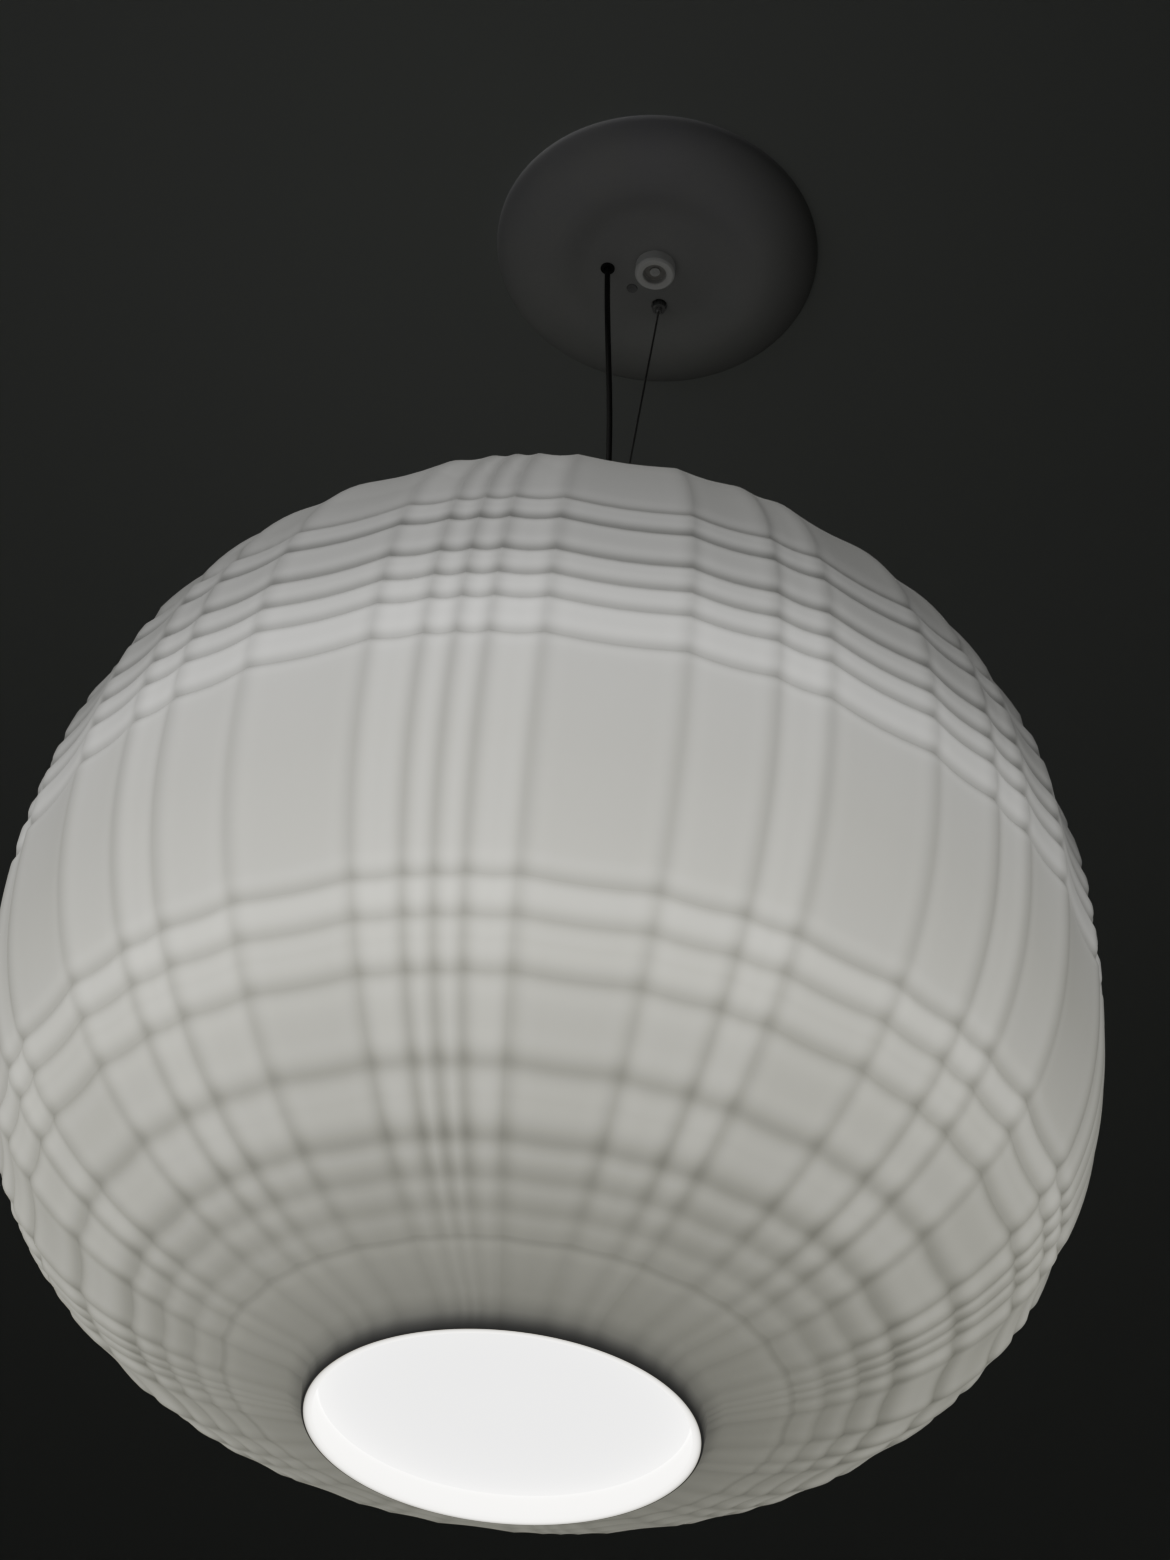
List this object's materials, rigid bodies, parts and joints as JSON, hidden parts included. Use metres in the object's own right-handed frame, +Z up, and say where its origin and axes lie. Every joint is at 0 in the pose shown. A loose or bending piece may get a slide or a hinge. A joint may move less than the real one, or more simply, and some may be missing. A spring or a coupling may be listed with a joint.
{
  "type": "pendant lamp",
  "caption": "Near-spherical opal pendant lamp with a moulded plaid relief, hung from a dished ceiling rose on a wire beside its power cord, bottom opening closed by a disc.",
  "frame": {"origin": "middle of the ceiling plate, on the ceiling", "axes": "+Z up, out of the ceiling plate's face; +X along the plate's two screw slots; -Y towards the camera"},
  "size_m": [0.5, 0.5, 0.7705],
  "materials": {
    "zinc_steel": "zinc plated",
    "rose_white": "satin white enamel",
    "cap_white": "translucent white with a worn recess",
    "black_rubber": "moulded black",
    "plug_grey": "moulded grey",
    "gripper_dark": "black nickel",
    "gripper_bright": "polished nickel",
    "spring_steel": "bright drawn wire",
    "wire_steel": "stranded stainless",
    "grip_nylon": "white nylon",
    "block_white": "white nylon",
    "screw_brass": "plain",
    "cord_black": "smooth black sheath",
    "ferrule_alu": "crimped",
    "hub_nickel": "satin nickel",
    "cover_white": "satin white enamel",
    "gasket_rubber": "translucent white",
    "carrier_zinc": "zinc plated",
    "holder_white": "moulded white",
    "core_ceramic": "glazed ceramic",
    "shell_brass": "plain",
    "base_alu": "rolled",
    "globe_glass": "frosted, lit from inside",
    "opal_glass": "opal, satin, lit from inside",
    "disc_opal": "opal acrylic, lit from inside"
  },
  "bodies": {
    "ceiling": {"ceiling_plate": "zinc_steel", "plate_stud": "zinc_steel", "stud_nut": "zinc_steel", "gripper_body": "gripper_dark", "gripper_spring": "spring_steel", "wire_grip_end": "wire_steel", "cord_grip": "grip_nylon", "grip_screw": "screw_brass", "terminal_block": "block_white", "terminal_screws": "screw_brass", "earth_screw": "screw_brass"},
    "plunger": {"gripper_plunger": "gripper_bright", "gripper_balls": "spring_steel"},
    "rose": {"rose_dome": "rose_white", "cord_bush": "black_rubber", "blanking_plug": "plug_grey"},
    "cap_nut": {"rose_cap_nut": "cap_white"},
    "lamp": {"suspension_wire": "wire_steel", "wire_ferrule": "ferrule_alu", "power_cord": "cord_black", "hub": "hub_nickel", "hub_cord_bush": "black_rubber", "top_cover": "cover_white", "upper_gasket": "gasket_rubber", "lower_gasket": "gasket_rubber", "carrier_plate": "carrier_zinc", "ring_nut": "hub_nickel", "hub_bush": "hub_nickel", "stem_tube": "hub_nickel", "stem_nuts": "hub_nickel", "lampholder_cap": "holder_white", "lampholder_skirt": "holder_white", "lampholder_core": "core_ceramic", "threaded_shell": "shell_brass", "centre_contact": "shell_brass", "diffuser_shade": "opal_glass"},
    "bulb": {"bulb_base": "base_alu", "bulb_globe": "globe_glass"},
    "disc": {"diffuser_disc": "disc_opal", "disc_clips": "spring_steel"}
  },
  "joints": [
    {"name": "rose_drop", "type": "slide", "parent": "ceiling", "child": "rose", "axis": [0, 0, -1], "range_m": [0, 0.0055]},
    {"name": "rose_nut_turn", "type": "hinge", "parent": "rose", "child": "cap_nut", "pos_m": [0, 0, -0.018], "axis": [0, 0, -1], "range_deg": [0, 1980]},
    {"name": "gripper_release", "type": "slide", "parent": "ceiling", "child": "plunger", "axis": [0, 0, 1], "range_m": [0, 0.002], "stiffness_N_per_m": 600, "springref_m": -0.003, "deforming": ["gripper_spring"]},
    {"name": "pendant_swing", "type": "hinge", "parent": "ceiling", "child": "lamp", "pos_m": [0.00495, 0.02807, -0.0215], "axis": [0.8192, 0.5736, 0], "range_deg": [-8, 8], "deforming": ["power_cord"]},
    {"name": "bulb_turn", "type": "hinge", "parent": "lamp", "child": "bulb", "pos_m": [-0.01602, 0.01338, -0.47], "axis": [0, 0, -1], "range_deg": [0, 1260]},
    {"name": "disc_pull", "type": "slide", "parent": "lamp", "child": "disc", "axis": [0, 0, -1], "range_m": [0, 0.03], "deforming": ["disc_clips"]}
  ],
  "couplings": [
    {"joint": "rose_nut_turn", "follows": "rose_drop", "rad_per_m": 6283.2}
  ]
}
